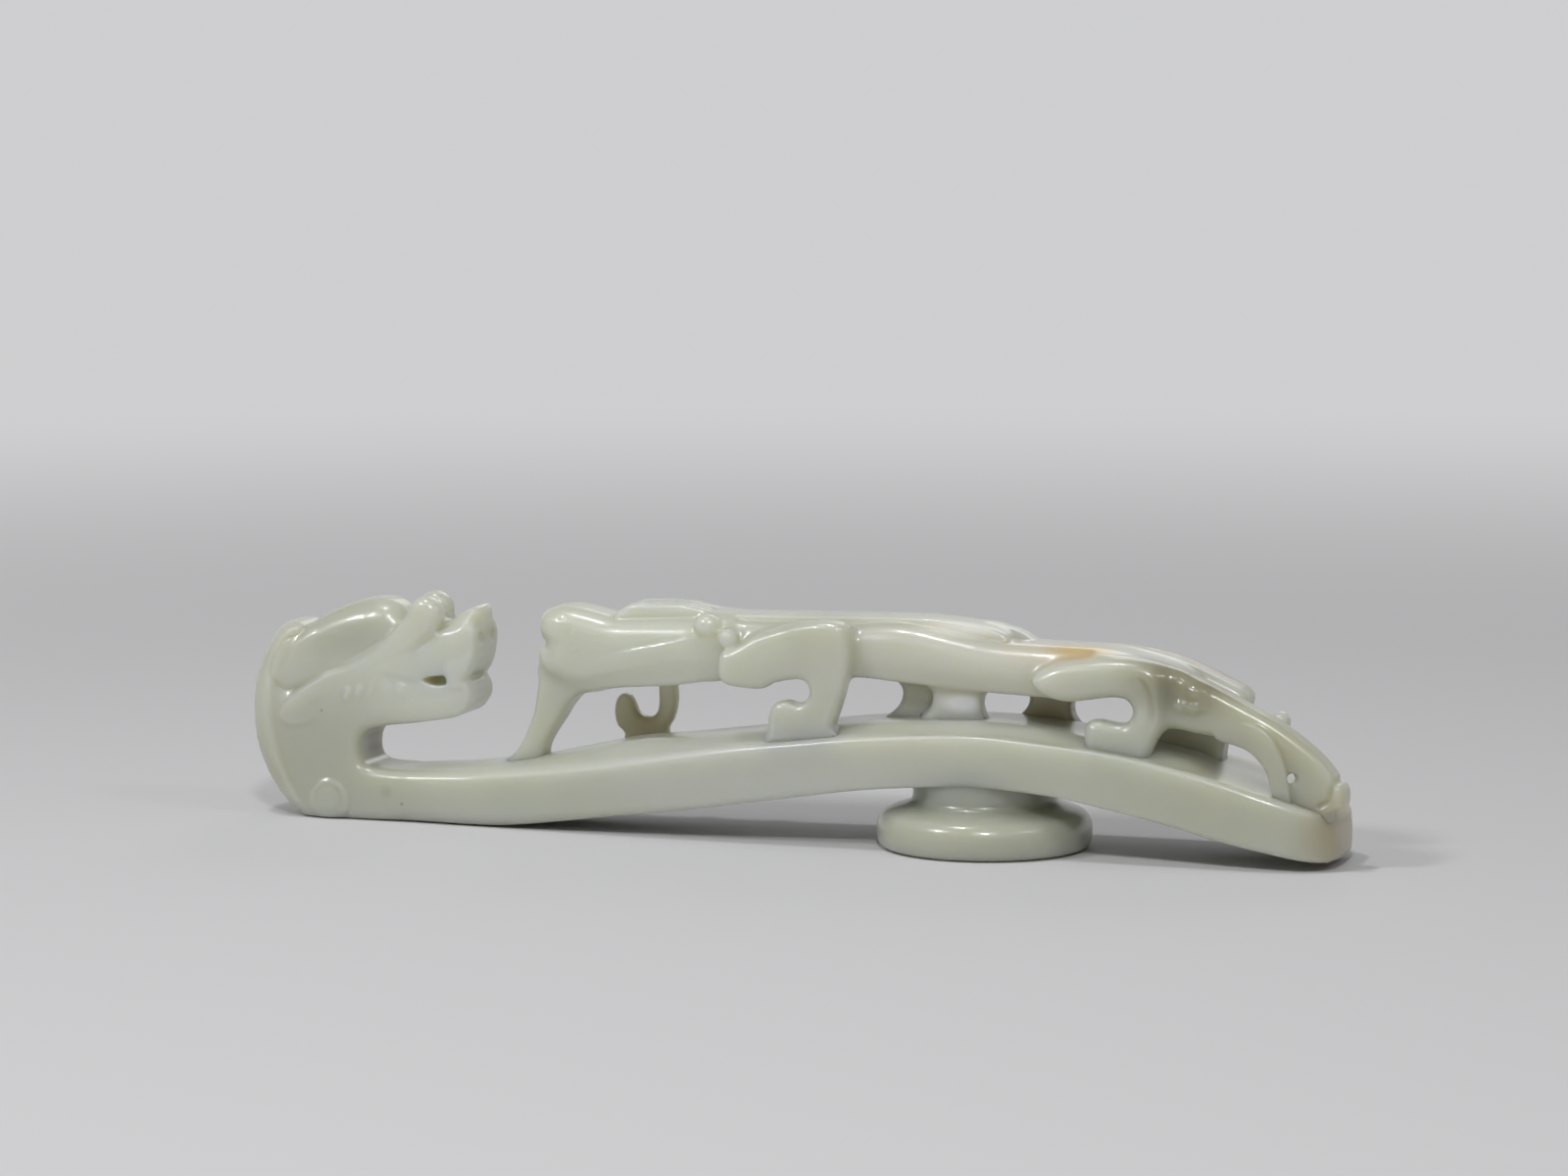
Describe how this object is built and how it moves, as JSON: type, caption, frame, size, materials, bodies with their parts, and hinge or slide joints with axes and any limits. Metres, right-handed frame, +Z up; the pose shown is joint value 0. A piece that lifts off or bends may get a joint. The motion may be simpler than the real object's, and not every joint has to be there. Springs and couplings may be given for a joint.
{
  "type": "jade belt hook",
  "caption": "Long arched belt hook carved from pale jade: a dragon's head turns back as the hook, a small chilong crouches in openwork on the shaft, and a round button stands below.",
  "frame": {"origin": "centre of the button's flat foot, on the surface that the hook lies on", "axes": "+X along the shaft towards the chilong's tail, with the dragon's head hook at -X; +Y to the left, the far side in the picture; +Z up"},
  "size_m": [0.1153, 0.0216, 0.0236],
  "materials": {
    "white_jade": "polished pale greenish-white nephrite, softly translucent, waxy gloss",
    "greyish_jade": "polished nephrite of a greyer, brownish tone, softly translucent",
    "russet_jade": "polished nephrite with a small russet skin spot, softly translucent"
  },
  "bodies": {
    "root": {"shaft": "white_jade", "button_disc": "white_jade", "button_stem": "white_jade", "hook_neck": "white_jade", "mane_ridge": "white_jade", "skull": "white_jade", "snout": "white_jade", "lower_jaw": "white_jade", "head_crest": "white_jade", "eye_right": "white_jade", "eye_left": "white_jade", "side_lock_right": "white_jade", "side_lock_left": "white_jade", "cheek_fin_right": "white_jade", "cheek_fin_left": "white_jade", "fang_right": "white_jade", "fang_left": "white_jade", "mane_curl_right": "white_jade", "mane_curl_left": "white_jade", "chilong_skull": "white_jade", "chilong_muzzle": "white_jade", "chilong_jaw": "white_jade", "chilong_beard": "white_jade", "chilong_brow_right": "white_jade", "chilong_brow_left": "white_jade", "chilong_ear_right": "white_jade", "chilong_ear_left": "white_jade", "chilong_eye_right": "white_jade", "chilong_eye_left": "white_jade", "chilong_neck": "white_jade", "chilong_trunk": "white_jade", "chilong_haunch": "russet_jade", "belly_pillar": "white_jade", "tail_right": "white_jade", "tail_left": "greyish_jade", "tail_claw": "white_jade", "tail_strut": "greyish_jade", "tail_bud_left": "greyish_jade", "hip_curl_right": "white_jade", "hip_curl_left": "white_jade", "foreleg_right": "white_jade", "forepaw_right": "white_jade", "foreleg_left": "greyish_jade", "thigh_right": "white_jade", "hindpaw_right": "white_jade", "hindleg_left": "greyish_jade"}
  },
  "joints": []
}
